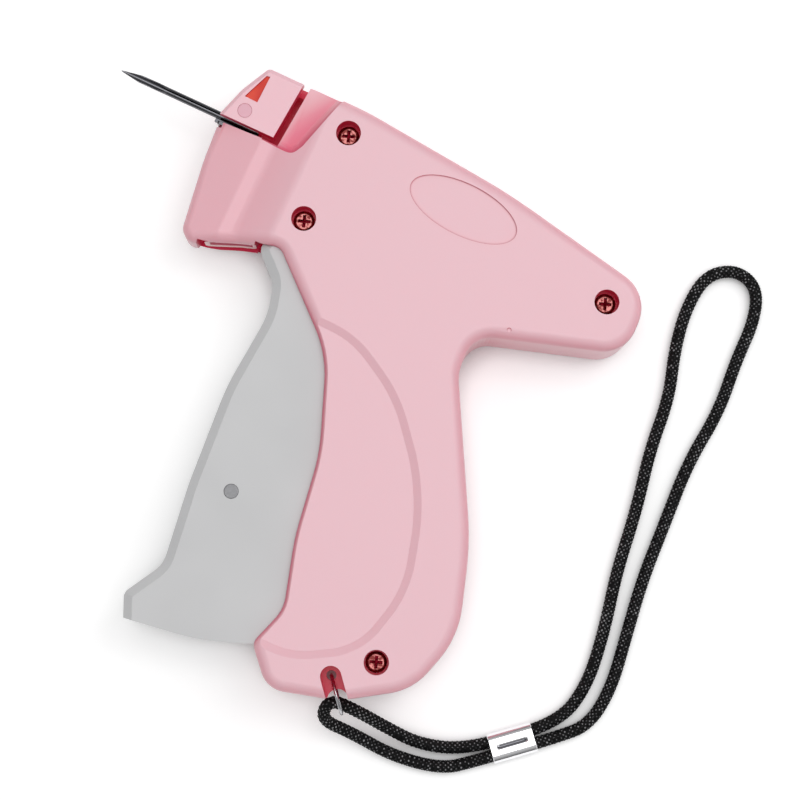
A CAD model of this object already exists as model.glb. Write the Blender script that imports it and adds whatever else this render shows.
# %% [markdown]
# # A garment tag attacher
#
# A hand tool of moulded plastic that shoots plastic fasteners through cloth.
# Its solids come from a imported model, which already stands at its real size.
# This lesson gives each piece its finish. It makes the two cords and their
# ferrule afresh, rounds the edges of the larger solids, and bends the return
# spring between the two pieces that it joins.

import math

import bmesh
import bpy
from mathutils import Matrix, Vector
from mathutils.bvhtree import BVHTree


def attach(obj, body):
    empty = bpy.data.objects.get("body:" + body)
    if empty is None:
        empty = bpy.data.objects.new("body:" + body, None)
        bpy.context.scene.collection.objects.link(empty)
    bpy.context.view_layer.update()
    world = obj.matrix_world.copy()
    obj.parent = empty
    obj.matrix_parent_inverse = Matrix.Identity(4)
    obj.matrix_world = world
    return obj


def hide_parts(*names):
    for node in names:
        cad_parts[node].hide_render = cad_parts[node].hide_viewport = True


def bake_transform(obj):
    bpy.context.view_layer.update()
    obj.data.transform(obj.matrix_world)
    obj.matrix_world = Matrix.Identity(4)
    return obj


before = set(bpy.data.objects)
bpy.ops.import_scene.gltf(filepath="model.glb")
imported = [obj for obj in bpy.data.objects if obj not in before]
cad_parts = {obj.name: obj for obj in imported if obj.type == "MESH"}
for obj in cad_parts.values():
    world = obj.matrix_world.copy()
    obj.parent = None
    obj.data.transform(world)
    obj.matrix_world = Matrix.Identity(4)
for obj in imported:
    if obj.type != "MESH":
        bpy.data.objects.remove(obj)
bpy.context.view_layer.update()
MM = 0.001                       # the frame's unit is the metre


# %% [markdown]
# ## Camera
#
# The tool lies flat on its right side and is seen from almost straight above,
# a little from the side of its grip. A long lens keeps its outline true. The
# camera is set by where it stands, what it looks at and which way is up,
# because those are easier to read than three angles.

# %% Camera
EYE = Vector((56.0, -81.1, 620.0)) * MM
TARGET = Vector((41.65, -30.76, 12.5)) * MM
PICTURE_UP = Vector((-0.4219, 0.9067, 0.0))
PICTURE_WIDTH = 207.4 * MM       # what the picture takes in, at the target
NEAREST_SEEN = 10 * MM

back = (EYE - TARGET).normalized()
up = (PICTURE_UP - PICTURE_UP.dot(back) * back).normalized()
right = up.cross(back)
camera = bpy.data.objects.new("camera", bpy.data.cameras.new("camera"))
camera.matrix_world = Matrix.Translation(EYE) @ Matrix((right, up, back)).transposed().to_4x4()
camera.data.angle = 2 * math.atan(PICTURE_WIDTH / 2 / (EYE - TARGET).length)
camera.data.clip_start = NEAREST_SEEN
bpy.context.scene.collection.objects.link(camera)
bpy.context.scene.camera = camera
bpy.context.scene.view_settings.view_transform = "Standard"
print("camera angle:", round(math.degrees(camera.data.angle), 2), "degrees")


# %% [markdown]
# ## From a bmesh to a piece
#
# Every new piece starts as a bmesh. This helper turns one into an object that
# sits at the origin, moves with a body, and stands for a solid of the model.
# Shading is smooth except across edges that turn sharply, and the larger a
# face is, the more it counts in the shading of its corners, so that a flat
# side looks flat right up to its rounded rim.

# %% From a bmesh to a piece
SHARP = math.radians(32)
NEVER_SHARP = math.pi


def as_piece(name, bm, material, body, node, sharp=SHARP):
    """An object from a bmesh that stands for a node, and rides on a body if one is named."""
    mesh = bpy.data.meshes.new(name)
    bm.to_mesh(mesh)
    bm.free()
    mesh.shade_smooth()
    mesh.set_sharp_from_angle(angle=sharp)
    piece = bpy.data.objects.new(name, mesh)
    bpy.context.scene.collection.objects.link(piece)
    weighted = piece.modifiers.new("weighted normals", "WEIGHTED_NORMAL")
    weighted.mode = "FACE_AREA"
    weighted.keep_sharp = True
    mesh.materials.append(material)
    if body:
        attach(piece, body)
    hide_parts(node)
    print(name, "faces:", len(mesh.polygons))
    return piece


print("edges look sharp from a turn of", round(math.degrees(SHARP)), "degrees")


# %% [markdown]
# ## Colours and shaders
#
# A finish is a small network of nodes. Colours are written as they look on the
# screen, from 0 to 255, and turned into the linear values that light needs. A
# node's socket either holds a plain value or is fed by another node, and one
# helper does whichever the value asks for. That lets a network be written from
# the inside out, like a formula.

# %% Colours and shaders
def colour(red, green, blue):
    """A colour as it looks on the screen, as linear values for a shader."""
    linear = []
    for channel in (red, green, blue):
        c = channel / 255
        linear.append(c / 12.92 if c <= 0.04045 else ((c + 0.055) / 1.055) ** 2.4)
    return (*linear, 1.0)


def feed(socket, value):
    """Wires another node's output to a socket, or writes a plain value there."""
    if isinstance(value, bpy.types.NodeSocket):
        socket.id_data.links.new(value, socket)
    else:
        socket.default_value = value


def node_adder(tree):
    """A function that adds a node to a tree, with its sockets fed and its settings made."""
    def add(kind, **settings):
        node = tree.nodes.new(kind)
        for key, value in settings.items():
            if key in node.inputs:
                feed(node.inputs[key], value)
            else:
                setattr(node, key, value)
        return node

    return add


def new_material(name, base, roughness, metallic=0.0, specular=0.5):
    """A material, its main shader, and a function that adds nodes to it."""
    material = bpy.data.materials.new(name)
    material.use_nodes = True
    shader = material.node_tree.nodes["Principled BSDF"]
    shader.inputs["Base Color"].default_value = base
    shader.inputs["Roughness"].default_value = roughness
    shader.inputs["Metallic"].default_value = metallic
    shader.inputs["Specular IOR Level"].default_value = specular
    return material, shader, node_adder(material.node_tree)


print("a screen grey of 128 is", round(colour(128, 128, 128)[0], 3), "of white light")


# %% [markdown]
# ## Numbers that vary over a surface
#
# Every finish here starts from a number that varies over the surface: noise,
# a place or a direction, moved to another range or reckoned with. Noise on
# object coordinates needs no unwrapping, and it stays on the piece when the
# piece moves.

# %% Numbers that vary over a surface
def noise(add, scale, detail=2.0):
    """Noise in the piece's own space, with features of about 1 / scale metres."""
    place = add("ShaderNodeTexCoord").outputs["Object"]
    return add("ShaderNodeTexNoise", Vector=place, Scale=scale, Detail=detail).outputs["Fac"]


def parts(add, vector):
    """The X, Y and Z of a vector."""
    return add("ShaderNodeSeparateXYZ", Vector=vector).outputs


def ranged(add, value, low, high, to_low=0.0, to_high=1.0):
    """A value mapped from one range to another, and kept inside it."""
    node = add("ShaderNodeMapRange", Value=value)
    limits = {"From Min": low, "From Max": high, "To Min": to_low, "To Max": to_high}
    for socket, limit in limits.items():
        feed(node.inputs[socket], limit)
    return node.outputs["Result"]


def worked_out(add, operation, *values):
    """What a sum makes of one or two values."""
    node = add("ShaderNodeMath", operation=operation)
    for socket, value in zip(node.inputs, values):
        feed(socket, value)
    return node.outputs[0]


print("helpers for numbers ready")


# %% [markdown]
# ## Colours and relief from numbers
#
# The numbers then become something to see. A ramp turns one into a colour, a
# mix chooses between two colours, and a bump reads one as a height and tilts
# the shading by it. A bump moves nothing, so it is kept for grain that is too
# fine to show at the edge of a piece.

# %% Colours and relief from numbers
def ramp(add, value, stops):
    """A colour ramp through (position, colour) stops."""
    node = add("ShaderNodeValToRGB", Fac=value)
    elements = node.color_ramp.elements
    while len(elements) < len(stops):
        elements.new(0.5)
    for element, (position, shade) in zip(elements, stops):
        element.position = position
        element.color = shade
    return node.outputs["Color"]


def blend(add, factor, first, second, mode="MIX"):
    """Two colours mixed by a factor."""
    node = add("ShaderNodeMix", data_type="RGBA", blend_type=mode)
    feed(node.inputs[0], factor)
    feed(node.inputs[6], first)      # 6 and 7 are the mix node's sockets for colours
    feed(node.inputs[7], second)
    return node.outputs[2]


def bump(add, shader, height, distance, strength=0.5):
    """Relief on a shader, from a height between 0 and 1 times a distance."""
    node = add("ShaderNodeBump", Height=height, Distance=distance, Strength=strength)
    feed(shader.inputs["Normal"], node.outputs["Normal"])


print("helpers for colours and relief ready")


# %% [markdown]
# ## Pink plastic on open faces
#
# The casing is dyed plastic, a pale pink where it lies open. Faces that stand
# upright, and the narrow nose, are a little deeper in colour. So is every inner
# corner less than a millimetre wide, which draws the outlines of the label's
# place and of the small inlays. Those seams could be drawn as lines, but the
# ambient occlusion node finds them by itself wherever faces stand close.

# %% Pink plastic on open faces
PALE_PINK = colour(235, 190, 199)
WARM_PINK = colour(235, 178, 185)
DEEP_PINK = colour(238, 174, 185)
SEAM_PINK = colour(196, 112, 126)
NOSE_START_X, NOSE_FULL_X = -5.0, -14.0      # millimetres; the nose narrows between them
NOSE_SHARE = 0.5                 # of the deeper colour, at the nose
UPRIGHT, LYING = 0.6, 0.99       # the vertical part of a face's normal
SEAM_REACH = 0.6 * MM
SEAM_SAMPLES = 8
SEAM_SHUT, SEAM_CLEAR = 0.5, 0.92            # how open a seam is, at its bottom and beside it


def open_face_colour(add, pale, deep):
    """Pale pink that is deeper on the nose, on upright faces and in seams."""
    across = parts(add, add("ShaderNodeTexCoord").outputs["Object"])["X"]
    nose = ranged(add, across, NOSE_START_X * MM, NOSE_FULL_X * MM, 0.0, NOSE_SHARE)
    flat_face = blend(add, nose, pale, deep)
    lying = worked_out(add, "ABSOLUTE", parts(add, add("ShaderNodeNewGeometry").outputs["Normal"])["Z"])
    face = blend(add, ranged(add, lying, UPRIGHT, LYING), deep, flat_face)
    seams = add("ShaderNodeAmbientOcclusion", samples=SEAM_SAMPLES, Distance=SEAM_REACH).outputs["AO"]
    return blend(add, ranged(add, seams, SEAM_SHUT, SEAM_CLEAR), SEAM_PINK, face)


print("seams are tinted within", round(SEAM_REACH / MM, 1), "mm")


# %% [markdown]
# ## Pink plastic in its hollows
#
# This plastic lets a little light in. Where light has to bounce about in a
# hole, a groove or a notch, the dye colours it again and again until it is
# crimson. Cycles alone darkens such a hole but barely reddens it, so each
# corner of the mesh gets an attribute that says how much of the sky it sees,
# and the colour follows that. The light that seeps through the thin walls is a
# faint glow in the deepest places. A fine grain keeps the flat faces alive.

# %% Pink plastic in its hollows
ROSE = colour(228, 116, 140)
CRIMSON = colour(222, 44, 84)
DARK_CRIMSON = colour(196, 22, 60)
SEEPING_LIGHT = colour(200, 30, 60)
OPENNESS = "openness"            # the attribute: 0 deep in a hole, 1 under the open sky
WARM_AT = 0.95
HOLLOW_BELOW, OPEN_ABOVE = 0.8, 0.98
GLOW_MARGIN = 0.1                # how much further out than the crimson the glow starts
PINK_GRAIN = 1500.0
SINK_IN = 1.2 * MM               # how far light spreads inside the plastic


def pink_plastic(name, pale, warm, deep, rose_at=0.74, crimson_at=0.4, seep=0.2):
    """Pink plastic that turns rose and then crimson as its surface sees less of the sky."""
    material, shader, add = new_material(name, pale, 0.34, specular=0.35)
    openness = add("ShaderNodeAttribute", attribute_name=OPENNESS).outputs["Fac"]
    stops = [(0.0, DARK_CRIMSON), (crimson_at, CRIMSON), (rose_at, ROSE), (WARM_AT, warm)]
    hollow = ramp(add, openness, stops)
    exposed = ranged(add, openness, HOLLOW_BELOW, OPEN_ABOVE)
    feed(shader.inputs["Base Color"], blend(add, exposed, hollow, open_face_colour(add, pale, deep)))
    shader.inputs["Emission Color"].default_value = SEEPING_LIGHT
    glow = ranged(add, openness, crimson_at + GLOW_MARGIN, 0.0, 0.0, seep)
    feed(shader.inputs["Emission Strength"], glow)
    bump(add, shader, noise(add, PINK_GRAIN, detail=3.0), 0.02 * MM)
    shader.inputs["Subsurface Weight"].default_value = 0.08
    shader.inputs["Subsurface Radius"].default_value = (1.0, 0.35, 0.4)
    shader.inputs["Subsurface Scale"].default_value = SINK_IN
    shader.inputs["Coat Weight"].default_value = 0.15
    shader.inputs["Coat Roughness"].default_value = 0.16
    return material


casing_pink = pink_plastic("casing_pink", PALE_PINK, WARM_PINK, DEEP_PINK)
block_pink = pink_plastic("block_pink", colour(240, 196, 205), colour(239, 190, 199), colour(238, 188, 198))
pin_pink = pink_plastic("pin_pink", colour(228, 176, 190), colour(226, 170, 186), colour(224, 166, 180))
feed_pink = pink_plastic("feed_pink", colour(244, 200, 202), colour(240, 184, 180), colour(242, 192, 192),
                         rose_at=0.3, crimson_at=0.08, seep=0.1)
print("pink plastics:", ", ".join(m.name for m in (casing_pink, block_pink, pin_pink, feed_pink)))


# %% [markdown]
# ## Grey, white and orange plastic
#
# The trigger is a satin grey, smooth enough to show soft light along its front
# edge. The small arrow set in the block is orange, and the pieces of the
# mechanism are plain white nylon. They all share one recipe: a fine grain, and
# for the two that show, a colour that wanders between two close shades, as the
# dye in a moulding does.

# %% Grey, white and orange plastic
MOTTLE_FROM, MOTTLE_TO = 0.3, 0.7            # where in the noise the two shades lie


def plain_plastic(name, base, roughness, grain, depth=0.02 * MM, specular=0.5, mottle=None):
    """Grained plastic, whose colour may wander over (scale of the spots, shade, shade)."""
    material, shader, add = new_material(name, base, roughness, specular=specular)
    if mottle:
        scale, dark, light = mottle
        spots = ramp(add, noise(add, scale, 1.0), [(MOTTLE_FROM, dark), (MOTTLE_TO, light)])
        feed(shader.inputs["Base Color"], spots)
    bump(add, shader, noise(add, grain), depth)
    return material


trigger_grey = plain_plastic(
    "trigger_grey", colour(206, 206, 207), 0.42, grain=1800.0, depth=0.015 * MM, specular=0.4,
    mottle=(60.0, colour(198, 198, 199), colour(202, 202, 203)),
)
mechanism_white = plain_plastic("mechanism_white", colour(236, 233, 226), 0.45, grain=1200.0)
arrow_orange = plain_plastic(
    "arrow_orange", colour(216, 60, 44), 0.38, grain=1500.0, specular=0.25,
    mottle=(220.0, colour(206, 46, 36), colour(226, 76, 54)),
)
print("plain plastics:", ", ".join(m.name for m in (trigger_grey, mechanism_white, arrow_orange)))


# %% [markdown]
# ## Bare metal
#
# Polished steel has no colour of its own and lives on what it mirrors. A
# perfectly even mirror looks false, so its roughness wanders between two
# values, and a relief of a hundredth of a millimetre stirs the reflections.

# %% Bare metal
METAL_RELIEF = 0.01 * MM
POLISH_SCALE = 900.0             # patches of about a millimetre


def unevenly_polished(add, shader, rough_low, rough_high, scale=POLISH_SCALE):
    """Roughness that wanders between two values, and a finer unevenness."""
    feed(shader.inputs["Roughness"], ranged(add, noise(add, scale, 4.0), 0.0, 1.0, rough_low, rough_high))
    bump(add, shader, noise(add, 4 * scale, 3.0), METAL_RELIEF, 0.4)


def metal(name, base, rough_low, rough_high, scale=POLISH_SCALE):
    """Bare metal of one colour."""
    material, shader, add = new_material(name, base, rough_low, metallic=1.0)
    unevenly_polished(add, shader, rough_low, rough_high, scale)
    return material


steel = metal("steel", colour(165, 165, 169), 0.14, 0.3)
needle_steel = metal("needle_steel", colour(104, 104, 108), 0.1, 0.22)
base_steel = metal("base_steel", colour(84, 84, 88), 0.14, 0.28)
spring_steel = metal("spring_steel", colour(190, 190, 194), 0.2, 0.35)
blade_steel = metal("blade_steel", colour(170, 170, 174), 0.18, 0.3)
pin_metal = metal("pin_metal", colour(124, 124, 126), 0.3, 0.6, scale=2600.0)
print("metals:", ", ".join(m.name for m in (steel, needle_steel, base_steel, spring_steel,
                                            blade_steel, pin_metal)))


# %% [markdown]
# ## Steel of the case screws
#
# The screws lie at the bottom of crimson wells, which they mirror, the more the
# deeper a spot lies in the cross of their heads. The wells' own reflections are
# too faint to show that, so the steel's colour follows the height, and noise
# puts small bright glints on top.

# %% Steel of the case screws
SCREW_CROWN_Z, SCREW_CROSS_DEPTH = 20.4, 1.0     # millimetres
SCREW_COLOURS = [(0.0, colour(72, 6, 16)), (0.7, colour(150, 52, 60)), (1.0, colour(154, 98, 96))]
SCREW_GLINTS = [(0.42, colour(150, 110, 108)), (0.6, colour(255, 250, 248))]

screw_steel, shader, add = new_material("screw_steel", colour(170, 110, 110), 0.2, metallic=1.0)
upward = parts(add, add("ShaderNodeTexCoord").outputs["Object"])["Z"]
height = ranged(add, upward, (SCREW_CROWN_Z - SCREW_CROSS_DEPTH) * MM, SCREW_CROWN_Z * MM)
by_depth = ramp(add, height, SCREW_COLOURS)
glints = ramp(add, noise(add, 1400.0, 1.0), SCREW_GLINTS)
feed(shader.inputs["Base Color"], blend(add, 1.0, by_depth, glints, "MULTIPLY"))
bump(add, shader, noise(add, 3000.0, 3.0), 0.02 * MM)
print("screw steel changes over", SCREW_CROSS_DEPTH, "mm of height")


# %% [markdown]
# ## Routes of the cords
#
# Two loops of one black braided cord make the lanyard: a short one through the
# ring in the butt, and a long one for the wrist. A loose cord follows no
# formula, so each route is a list of points chosen by hand, in millimetres,
# the same as the solids follow.

# %% Routes of the cords
CORD_RADIUS = 1.7 * MM
SHORT_LOOP = [
    (102.36, -99.48, 2.2), (95.56, -105.38, 2.2), (84.0, -109.4, 2.2),
    (73.5, -108.8, 6.0), (66.0, -108.0, 11.0), (57.7, -108.0, 12.3),
    (57.7, -114.0, 9.0), (66.5, -114.0, 4.0), (79.0, -115.0, 2.2),
    (92.0, -112.6, 2.2), (98.6, -107.4, 2.2), (104.66, -102.12, 2.2),
]
WRIST_LOOP = [
    (106.74, -95.68, 2.2), (114.6, -88.87, 2.2), (117.3, -77.0, 2.2),
    (115.4, -62.0, 2.2), (112.0, -47.0, 2.2), (110.0, -30.0, 2.2),
    (106.7, -14.0, 2.2), (105.6, 0.5, 2.2), (101.6, 13.0, 2.2),
    (99.8, 24.5, 2.2), (101.0, 34.6, 2.2), (107.6, 39.3, 2.2),
    (114.8, 37.2, 2.2), (117.6, 28.6, 2.2), (117.6, 17.0, 2.2),
    (119.0, 3.0, 2.2), (117.2, -13.0, 2.2), (118.2, -30.0, 2.2),
    (119.0, -46.0, 2.2), (121.2, -61.0, 2.2), (123.3, -75.0, 2.2),
    (122.0, -86.2, 2.2), (115.6, -92.6, 2.2), (109.04, -98.32, 2.2),
]
print("route points:", len(SHORT_LOOP), "and", len(WRIST_LOOP))


# %% [markdown]
# ## A smooth line along a route
#
# The points of a route are the control points of a smooth spline, which passes
# near them and never kinks. Blender works the spline out, and its points are
# then spaced evenly, because the braid needs rings that lie equally far apart.

# %% A smooth line along a route
SPLINE_STEPS = 24                # between two control points
ROUNDING = 1e-9                  # metres


def spline_points(name, corners):
    """Points along a smooth spline whose control points are the corners."""
    curve = bpy.data.curves.new(name, "CURVE")
    curve.dimensions = "3D"
    curve.resolution_u = SPLINE_STEPS
    spline = curve.splines.new("NURBS")
    spline.points.add(len(corners) - 1)
    for point, corner in zip(spline.points, corners):
        point.co = (*(Vector(corner) * MM), 1.0)
    spline.order_u = 3
    spline.use_endpoint_u = True
    line = bpy.data.objects.new(name, curve)
    mesh = bpy.data.meshes.new_from_object(line)
    points = [v.co.copy() for v in mesh.vertices]
    bpy.data.objects.remove(line)
    return points


def length_of(points):
    """The length of a line through points."""
    return sum((b - a).length for a, b in zip(points, points[1:]))


def evenly(points, step):
    """The same line with points at even distances."""
    total = length_of(points)
    count = round(total / step)
    spacing = total / count
    even, travelled = [points[0]], 0.0
    for a, b in zip(points, points[1:]):
        run = (b - a).length
        while len(even) <= count and travelled + run >= spacing * len(even) - ROUNDING:
            even.append(a.lerp(b, (spacing * len(even) - travelled) / run))
        travelled += run
    even[-1] = points[-1]
    return even


print("spline steps between two points:", SPLINE_STEPS)


# %% [markdown]
# ## How a braid is shaped
#
# A round braid has strands that wind to the right and strands that wind to the
# left, and each passes over and under the others in turn. The height of the
# surface follows from that: a strand stands up where it crosses over and dips
# towards its flanks. A texture would do from far away, but the edge of the cord
# would stay as smooth as a wire, so the braid is real relief.

# %% How a braid is shaped
BRAID_STRANDS = 8                # carriers each way
BRAID_PITCH = 10.5 * MM          # along the cord, for a full turn of one strand
BRAID_RELIEF = 0.36 * MM
STRAND_FULLNESS = 0.7            # below 1 a strand's back is broader than a sine
STRAND_LEAST, STRAND_SWELL = 0.45, 0.55      # along its crossing, a strand swells by this


def carried_frames(points):
    """At each point two directions across the line, carried along it without twist."""
    across = Vector((0, 0, 1))
    frames = []
    for i in range(len(points)):
        along = (points[min(i + 1, len(points) - 1)] - points[max(i - 1, 0)]).normalized()
        across = (across - across.dot(along) * along).normalized()
        frames.append((across, along.cross(across)))
    return frames


def braid_height(turn, along):
    """How high the braid stands, from -1 to 1, at a share of a turn and a length."""
    right_hand = BRAID_STRANDS * (turn + along / BRAID_PITCH)
    left_hand = BRAID_STRANDS * (turn - along / BRAID_PITCH)
    a, b = right_hand % 1.0, left_hand % 1.0
    over = (math.floor(right_hand) + math.floor(left_hand)) % 2
    crown, flank = (a, b) if over else (b, a)
    bulge = math.sin(math.pi * crown) ** STRAND_FULLNESS
    return 2.0 * bulge * (STRAND_LEAST + STRAND_SWELL * math.sin(math.pi * flank)) - 1.0


print("one strand turns once in", round(BRAID_PITCH / MM, 1), "mm")


# %% [markdown]
# ## Black yarn
#
# The yarn is black, with light only on the crowns of the strands, where single
# fibres are rubbed. The noise runs along the cord on its own UV map, and it is
# multiplied by the height of the braid, which the mesh keeps as an attribute,
# so that the flecks stay out of the dips.

# %% Black yarn
CROWN = "crown"                  # the attribute: 0 in a dip, 1 on a strand's crown
CORD_UV = "cord"
YARN = [(0.22, colour(4, 4, 5)), (0.39, colour(13, 13, 14)), (0.55, colour(142, 142, 144))]

cord_black, shader, add = new_material("cord_black", colour(16, 16, 18), 0.6, specular=0.16)
fleck = add("ShaderNodeTexNoise", Vector=add("ShaderNodeUVMap", uv_map=CORD_UV).outputs["UV"],
            Scale=1.6, Detail=3.0).outputs["Fac"]
crowns = add("ShaderNodeAttribute", attribute_name=CROWN).outputs["Fac"]
feed(shader.inputs["Base Color"], ramp(add, worked_out(add, "MULTIPLY", crowns, fleck), YARN))
bump(add, shader, noise(add, 5000.0), 0.03 * MM, 0.6)
print("yarn ready, with", len(YARN), "shades")


# %% [markdown]
# ## Two braided cords
#
# Each cord is a flat grid wrapped round its line and lifted by the height of
# the braid. One grid keeps the rows and the UV map regular from end to end,
# where a bevelled curve would give no say over its surface. The ends are
# closed, and the relief fades towards them, so that they fit the ferrule.

# %% Two braided cords
BRAID_STEP = 0.22 * MM
AROUND = 56
RELIEF_FADE = 2 * MM
CORD_MERGE = 0.005 * MM


def wrap_braid(bm, points, layer):
    """Wraps a unit grid round a line and lifts it into a braid."""
    frames = carried_frames(points)
    last = len(points) - 1
    for vert in bm.verts:
        turn, place = vert.co.x + 0.5, round((vert.co.y + 0.5) * last)
        near_end = min(place, last - place) * BRAID_STEP
        relief = BRAID_RELIEF * min(1.0, near_end / RELIEF_FADE)
        height = braid_height(turn, place * BRAID_STEP)
        radius = CORD_RADIUS - BRAID_RELIEF / 2 + relief * height / 2
        vert[layer] = (height + 1) / 2
        across, beside = frames[place]
        angle = 2 * math.pi * turn
        vert.co = points[place] + radius * (math.cos(angle) * across + math.sin(angle) * beside)


def braided_cord(name, corners):
    """A braided tube round a smooth line, with its UV map running along it."""
    points = evenly(spline_points(name, corners), BRAID_STEP)
    rings = len(points)
    bm = bmesh.new()
    uv = bm.loops.layers.uv.new(CORD_UV)
    crown = bm.verts.layers.float.new(CROWN)
    bmesh.ops.create_grid(bm, x_segments=AROUND, y_segments=rings - 1, size=0.5)
    for face in bm.faces:
        for loop in face.loops:
            loop[uv].uv = (loop.vert.co.x + 0.5, (loop.vert.co.y + 0.5) * rings * BRAID_STEP / MM)
    wrap_braid(bm, points, crown)
    bmesh.ops.remove_doubles(bm, verts=bm.verts, dist=CORD_MERGE)
    bmesh.ops.holes_fill(bm, edges=[e for e in bm.edges if e.is_boundary])
    bmesh.ops.recalc_face_normals(bm, faces=bm.faces)
    node = name.replace("_cord", "")
    piece = as_piece(name, bm, cord_black, "casing", node, NEVER_SHARP)
    print(name, "length:", round(length_of(points) / MM, 1), "mm")
    return piece, points


short_cord, short_points = braided_cord("lanyard_short_loop_cord", SHORT_LOOP)
wrist_cord, wrist_points = braided_cord("lanyard_wrist_loop_cord", WRIST_LOOP)


# %% [markdown]
# ## Shape of the ferrule
#
# A short tube of bright metal holds the four ends of the cord. On the real one
# it is pressed shut round them, and the tool leaves a groove along its middle,
# in the dip between the two cords. The section of its wall is a closed loop,
# and an oval gives the way round it, so that one set of numbers makes the
# outside, the inside and the rims.

# %% Shape of the ferrule
FERRULE_LENGTH = 11.8 * MM
FERRULE_WALL = 0.38 * MM
FERRULE_PLAY = 0.08 * MM         # between the cord and the wall
FERRULE_RIM = 0.12 * MM
GROOVE_DEPTH = 0.9 * MM
GROOVE_HALF_WIDTH = 0.6 * MM
GROOVE_HALF_LENGTH = 4.2 * MM
GROOVE_RUN_OUT = 0.7 * MM
LENGTH_STEPS = 44


def oval_point(share, half_pitch, radius):
    """A point on an oval with straight sides, a share of the way round it."""
    straight, arc = 2 * half_pitch, math.pi * radius
    way = (share % 1.0) * 2 * (straight + arc)
    side = 1 if way < straight + arc else -1
    way %= straight + arc
    if way < straight:
        return side * (half_pitch - way), side * radius
    angle = math.pi / 2 + (way - straight) / radius
    return side * (radius * math.cos(angle) - half_pitch), side * radius * math.sin(angle)


def wall_section(inner, outer):
    """The wall's section as (length, radius) pairs: outside forth, inside back."""
    reach = FERRULE_LENGTH / 2
    even = 1 - FERRULE_RIM / reach       # the share of the length between the two rims
    lengths = [reach * (2 * i / LENGTH_STEPS - 1) * even for i in range(LENGTH_STEPS + 1)]
    section = [(z, outer) for z in lengths]
    section += [(reach, outer - FERRULE_RIM), (reach, inner + FERRULE_RIM)]
    section += [(z, inner) for z in reversed(lengths)]
    return section + [(-reach, inner + FERRULE_RIM), (-reach, outer - FERRULE_RIM)]


def groove_at(x, z):
    """How deep the pressed groove is at a place on the flat side, from 0 to 1."""
    across = max(0.0, 1 - abs(x) / GROOVE_HALF_WIDTH)
    run_out = min(1.0, max(0.0, (GROOVE_HALF_LENGTH - abs(z)) / GROOVE_RUN_OUT))
    return across * run_out


print("ferrule:", round(FERRULE_LENGTH / MM, 1), "mm long, wall", round(FERRULE_WALL / MM, 2), "mm")


# %% [markdown]
# ## Pressed ferrule
#
# A flat grid is wrapped round the oval, with the wall's section running across
# it, and pushed in where the groove lies. The pressing tool also dulls the
# groove, so its depth is kept as an attribute that darkens the metal: the
# reflections alone would leave it as bright as the rest.

# %% Pressed ferrule
GROOVE = "groove"                # the attribute: 0 beside the groove, 1 at its bottom
BRIGHT_METAL = colour(246, 246, 248)
GROOVE_COLOURS = [(0.05, BRIGHT_METAL), (0.6, colour(172, 172, 176))]
OVAL_STEPS = 120
FERRULE_MERGE = 0.001 * MM

ferrule_metal, shader, add = new_material("ferrule_metal", BRIGHT_METAL, 0.12, metallic=1.0)
pressed = add("ShaderNodeAttribute", attribute_name=GROOVE).outputs["Fac"]
feed(shader.inputs["Base Color"], ramp(add, pressed, GROOVE_COLOURS))
unevenly_polished(add, shader, 0.08, 0.18)

near_end = (short_points[0] + short_points[-1]) / 2
far_end = (wrist_points[0] + wrist_points[-1]) / 2
along = (far_end - near_end).normalized()
beside = Vector((0, 0, 1)).cross(along)
half_pitch = (short_points[0] - short_points[-1]).length / 2
inner = CORD_RADIUS + FERRULE_PLAY
section = wall_section(inner, inner + FERRULE_WALL)

bm = bmesh.new()
groove = bm.verts.layers.float.new(GROOVE)
bmesh.ops.create_grid(bm, x_segments=OVAL_STEPS, y_segments=len(section), size=0.5)
for vert in bm.verts:
    z, radius = section[round((vert.co.y + 0.5) * len(section)) % len(section)]
    x, y = oval_point(vert.co.x + 0.5, half_pitch, radius)
    vert[groove] = groove_at(x, z)
    height = y - math.copysign(GROOVE_DEPTH * vert[groove], y)
    vert.co = (near_end + far_end) / 2 + x * beside + Vector((0, 0, height)) + z * along
bmesh.ops.remove_doubles(bm, verts=bm.verts, dist=FERRULE_MERGE)
bmesh.ops.recalc_face_normals(bm, faces=bm.faces)
ferrule = as_piece(
    "lanyard_ferrule_pressed", bm, ferrule_metal, "casing", "lanyard_ferrule",
)


# %% [markdown]
# ## Rays towards the sky
#
# The pink plastic asks how open each spot of its surface is. Rays answer that:
# they go out over half a sphere, and the share that meets nothing within a
# short reach is the share of the sky. The ambient occlusion node measures the
# same thing while it renders, but over this reach it would take many samples
# to be free of noise, and the answer never changes, so it is worked out once.

# %% Rays towards the sky
SKY_RAYS = 48
SKY_START = 0.4 * MM             # off the face, so that shallow marks don't count
SKY_REACH = 14.0 * MM


def sky_directions(count):
    """Directions spread evenly over a half sphere round +Z, more of them upright."""
    golden = math.pi * (3 - math.sqrt(5))
    rays = []
    for i in range(count):
        spread = math.sqrt((i + 0.5) / count)
        rays.append(Vector((
            spread * math.cos(i * golden), spread * math.sin(i * golden),
            math.sqrt(1 - spread * spread),
        )))
    return rays


SKY = sky_directions(SKY_RAYS)


def solids_tree(nodes):
    """A search tree of several nodes' meshes, to cast rays at."""
    bm = bmesh.new()
    for node in nodes:
        bm.from_mesh(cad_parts[node].data)
    tree = BVHTree.FromBMesh(bm)
    bm.free()
    return tree


def seen_sky(tree, point, normal):
    """The share of the sky above a point of a face that nothing shuts off."""
    turn = normal.to_track_quat("Z", "Y")
    start = point + normal * SKY_START
    free = sum(tree.ray_cast(start, turn @ ray, SKY_REACH)[0] is None for ray in SKY)
    return free / len(SKY)


print("rays from each corner:", len(SKY))


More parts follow.
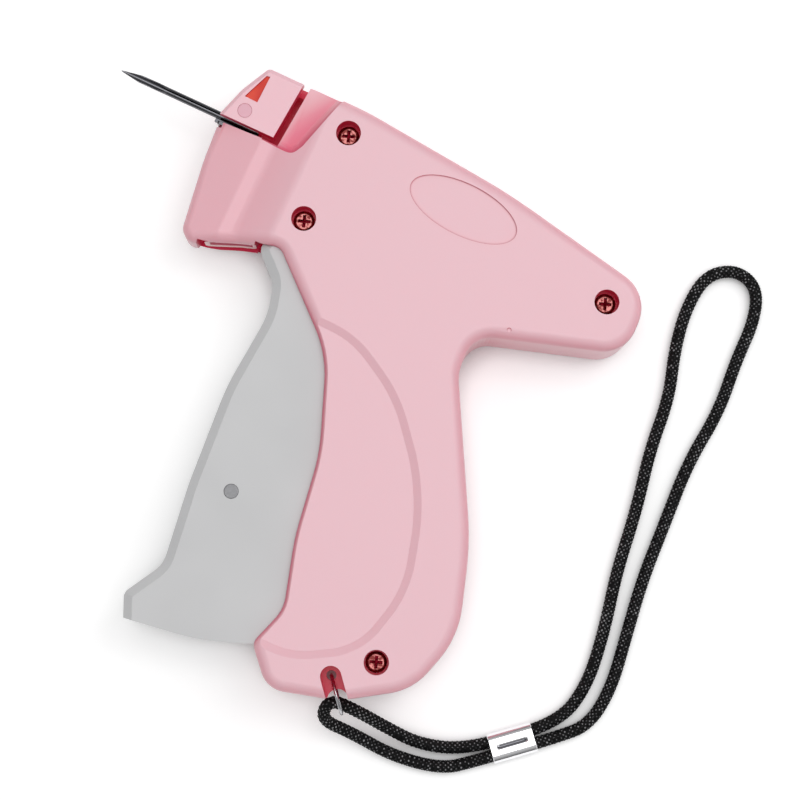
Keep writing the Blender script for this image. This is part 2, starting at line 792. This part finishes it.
# %% [markdown]
# ## How open each corner lies
#
# The answer is stored on the corners of each face, and not on the vertices, so
# that a wall and the flat face it ends at can differ along the edge that they
# share. Corners that lie together and face the same way share one answer, which
# saves most of the rays.

# %% How open each corner lies
CORNER_INSET = 0.04              # the share of the way from a corner to its face's middle


def note_openness(piece, tree):
    """Stores on each corner of a piece how open to the sky it lies."""
    mesh = piece.data
    layer = mesh.attributes.new(OPENNESS, "FLOAT", "CORNER")
    known = {}
    for face in mesh.polygons:
        middle = face.center
        for loop in face.loop_indices:
            corner = mesh.vertices[mesh.loops[loop].vertex_index].co
            key = (*(round(c / MM, 1) for c in corner), *(round(n, 1) for n in face.normal))
            if key not in known:
                known[key] = seen_sky(tree, corner.lerp(middle, CORNER_INSET), face.normal)
            layer.data[loop].value = known[key]
    print(piece.name, "corners looked at:", len(known))


SHADING_SOLIDS = ["left_shell", "right_shell", "guide_block", "feed_guide", "trigger", "case_screws"]
casing_tree = solids_tree(SHADING_SOLIDS)
print("solids that shut off the sky:", len(SHADING_SOLIDS))


# %% [markdown]
# ## Moulded pieces
#
# A solid of the model is a mesh of loose triangles with knife-sharp edges. Real
# moulded plastic has a small round along every edge, and that round is what
# catches the light. So the large pieces are copied, their triangles are merged
# and the flat ones joined, and each sharp edge is bevelled. A bevel modifier
# on the solid itself would round nothing, because loose triangles share no
# edges. The trigger, which the fingers squeeze, gets the widest round.

# %% Moulded pieces
SOLID_MERGE = 0.002 * MM
FLAT = math.radians(0.6)
EDGE_TURN = math.radians(15)
PINK_PIECES = (
    ("left_shell", casing_pink, "casing_pink", 0.18 * MM),
    ("right_shell", casing_pink, "casing_pink", 0.18 * MM),
    ("guide_block", block_pink, "block_pink", 0.12 * MM),
    ("guide_block_pin", pin_pink, "block_pink", 0.15 * MM),
    ("feed_guide", feed_pink, "feed_pink", 0.15 * MM),
)
TRIGGER_ROUND = 0.3 * MM


def dressed(node, edge, segments=2):
    """A bmesh of a node's solid with its flat faces joined and its edges bevelled."""
    bm = bmesh.new()
    bm.from_mesh(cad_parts[node].data)
    bmesh.ops.remove_doubles(bm, verts=bm.verts, dist=SOLID_MERGE)
    bmesh.ops.dissolve_limit(bm, angle_limit=FLAT, use_dissolve_boundaries=False,
                             verts=bm.verts, edges=bm.edges, delimit=set())
    sharp = [e for e in bm.edges if len(e.link_faces) == 2 and e.calc_face_angle(0.0) > EDGE_TURN]
    bmesh.ops.bevel(bm, geom=sharp, offset=edge, offset_type="OFFSET", segments=segments,
                    profile=0.5, affect="EDGES", clamp_overlap=True, material=-1)
    return bm


for node, material, slot, edge in PINK_PIECES:
    piece = as_piece(node + "_moulded", dressed(node, edge), material, "casing", node)
    note_openness(piece, casing_tree)
as_piece(
    "trigger_moulded", dressed("trigger", TRIGGER_ROUND, segments=3), trigger_grey, "trigger",
    "trigger",
)


# %% [markdown]
# ## Small parts that show
#
# The screws, the needle and its base, the orange arrow and the trigger's round
# pin are dressed in the same way, with rounds that suit their size. The needle
# gets the smallest, so that its tip still looks sharp.

# %% Small parts that show
SMALL_PARTS = (
    ("case_screws", screw_steel, "screw_steel", "casing", 0.06 * MM),
    ("needle", needle_steel, "steel", "casing", 0.04 * MM),
    ("needle_base", base_steel, "blade_steel", "casing", 0.1 * MM),
    ("arrow_inlay", arrow_orange, "arrow_orange", "casing", 0.12 * MM),
    ("return_spring_pin", pin_metal, "steel", "trigger", 0.2 * MM),
)
for node, material, slot, body, edge in SMALL_PARTS:
    as_piece(node + "_dressed", dressed(node, edge), material, body, node)


# %% [markdown]
# ## Return spring
#
# The coil of the return spring sits on a pin in the trigger and travels with
# it, while the tip of its long leg stays against the back of the grip. A rigid
# copy would cut through the grip when the trigger is squeezed. So the copy is
# bent between the two bodies, from just outside the coil to the leg's tip.

bm = bmesh.new()
bm.from_mesh(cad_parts["return_spring"].data)
bmesh.ops.remove_doubles(bm, verts=bm.verts, dist=SOLID_MERGE)
spring = as_piece("return_spring_bent", bm, spring_steel, None, "return_spring")
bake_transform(spring)


# %% [markdown]
# ## Pieces that keep their solids
#
# Some pieces are already the right shape: turned pins, flat levers, the slide
# and the ring. They keep the model's own mesh and only get a finish, by putting
# a material in their slot.

# %% Pieces that keep their solids
KEPT = {
    steel: ["drive_pin", "drive_lever_pin", "slide_pin", "push_rod", "feed_wheel_axle", "feed_pawl_pin"],
    spring_steel: ["lanyard_ring"],
    blade_steel: ["cutter_blade"],
    mechanism_white: ["drive_lever", "push_slide", "feed_wheel", "feed_pawl"],
}
for material, nodes in KEPT.items():
    for node in nodes:
        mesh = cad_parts[node].data
        mesh.materials.clear()
        mesh.materials.append(material)
print("kept solids:", sum(len(nodes) for nodes in KEPT.values()))


# %% [markdown]
# ## What the cords are
#
# A cord can be laid anew by whoever uses this model, if its line, its length
# and its softness are told. This one is limp and lies loose, and both of its
# ends belong to the tool. The ferrule goes with the short loop.

# %% What the cords are
print("cords told:", short_cord.name, "and", wrist_cord.name)


# %% [markdown]
# ## Floor
#
# A product picture wants a white ground that still holds a soft shadow. The
# floor is a plain white that also glows a little towards the camera and
# towards mirrors, so that it reads as white without any extra light on the
# tool. It doesn't glow right under the tool, or it would shine through gaps.

# %% Floor
WHITE = (1, 1, 1, 1)
FLOOR_HALF = 3.0                 # metres, from its middle to its edge
FLOOR_GAP = 0.05 * MM            # keeps the floor from coinciding with the side that lies on it
FLOOR_GLOW = 0.36
COVER_REACH = 9 * MM             # how far the floor looks for a tool above it
COVER_SAMPLES = 12
COVERED, UNCOVERED = 0.25, 0.75

bm = bmesh.new()
bmesh.ops.create_grid(bm, x_segments=1, y_segments=1, size=FLOOR_HALF)
bmesh.ops.translate(bm, verts=bm.verts, vec=(0, 0, -FLOOR_GAP))
mesh = bpy.data.meshes.new("floor")
bm.to_mesh(mesh)
bm.free()
floor = bpy.data.objects.new("floor", mesh)
bpy.context.scene.collection.objects.link(floor)

floor_white, shader, add = new_material("floor_white", (0.8, 0.8, 0.8, 1), 0.9, specular=0.0)
path = add("ShaderNodeLightPath").outputs
seen = worked_out(add, "MAXIMUM", path["Is Camera Ray"], path["Is Glossy Ray"])
cover = add("ShaderNodeAmbientOcclusion", samples=COVER_SAMPLES, Distance=COVER_REACH).outputs["AO"]
glow = ranged(add, cover, COVERED, UNCOVERED, 0.0, FLOOR_GLOW)
shader.inputs["Emission Color"].default_value = WHITE
feed(shader.inputs["Emission Strength"], worked_out(add, "MULTIPLY", seen, glow))
mesh.materials.append(floor_white)
print("floor:", 2 * FLOOR_HALF, "m wide")


# %% [markdown]
# ## Sky
#
# The sky is brighter above than at its rim, and in mirrors its rim is nearly
# black, as if dark cards stood round the table: polished metal is drawn by
# that contrast. Rays that come straight from the camera, or through glass, see
# plain white instead, so that the ground has no horizon.

# %% Sky
HORIZON, ZENITH = 0.3, 0.6       # how bright the sky is, low down and straight above
MIRRORED_HORIZON = 0.03


def between(add, factor, first, second):
    """A number mixed from two by a factor."""
    node = add("ShaderNodeMix")
    feed(node.inputs[0], factor)
    feed(node.inputs[2], first)      # 2 and 3 are the mix node's sockets for numbers
    feed(node.inputs[3], second)
    return node.outputs[0]


world = bpy.data.worlds.new("studio")
world.use_nodes = True
bpy.context.scene.world = world
add = node_adder(world.node_tree)
path = add("ShaderNodeLightPath").outputs
seen = worked_out(add, "MAXIMUM", path["Is Camera Ray"], path["Is Transmission Ray"])
upward = parts(add, add("ShaderNodeTexCoord").outputs["Generated"])["Z"]
rim = between(add, path["Is Glossy Ray"], HORIZON, MIRRORED_HORIZON)
dome = ranged(add, upward, 0.0, 1.0, rim, ZENITH)
background = world.node_tree.nodes["Background"]
feed(background.inputs["Strength"], between(add, seen, dome, 1.0))
background.inputs["Color"].default_value = WHITE
print("sky from", HORIZON, "at its rim to", ZENITH, "above")


# %% [markdown]
# ## Lamps
#
# A wide lamp hangs overhead, and a weaker one stands beyond the tail and the
# top edge. Both are large, because the size of a lamp is what softens its
# shadows, and the second gives the rounds a bright side and a darker one.

# %% Lamps
SIDE_LAMP = TARGET + Vector((0.5, 0.7, 1.2))         # metres from the middle of the view
OVERHEAD_LAMP = TARGET + Vector((-0.03, 0.12, 1.5))


def soft_lamp(name, place, size, power):
    """A square lamp that faces the tool."""
    lamp = bpy.data.objects.new(name, bpy.data.lights.new(name, "AREA"))
    lamp.data.size = size
    lamp.data.energy = power
    lamp.location = place
    lamp.rotation_euler = (place - TARGET).to_track_quat("Z", "Y").to_euler()
    bpy.context.scene.collection.objects.link(lamp)
    print(name, "lamp:", power, "W from", round((place - TARGET).length, 2), "m away")


soft_lamp("side", SIDE_LAMP, size=0.8, power=4.5)
soft_lamp("overhead", OVERHEAD_LAMP, size=1.0, power=7.0)


# %% Close
print("sizes written")
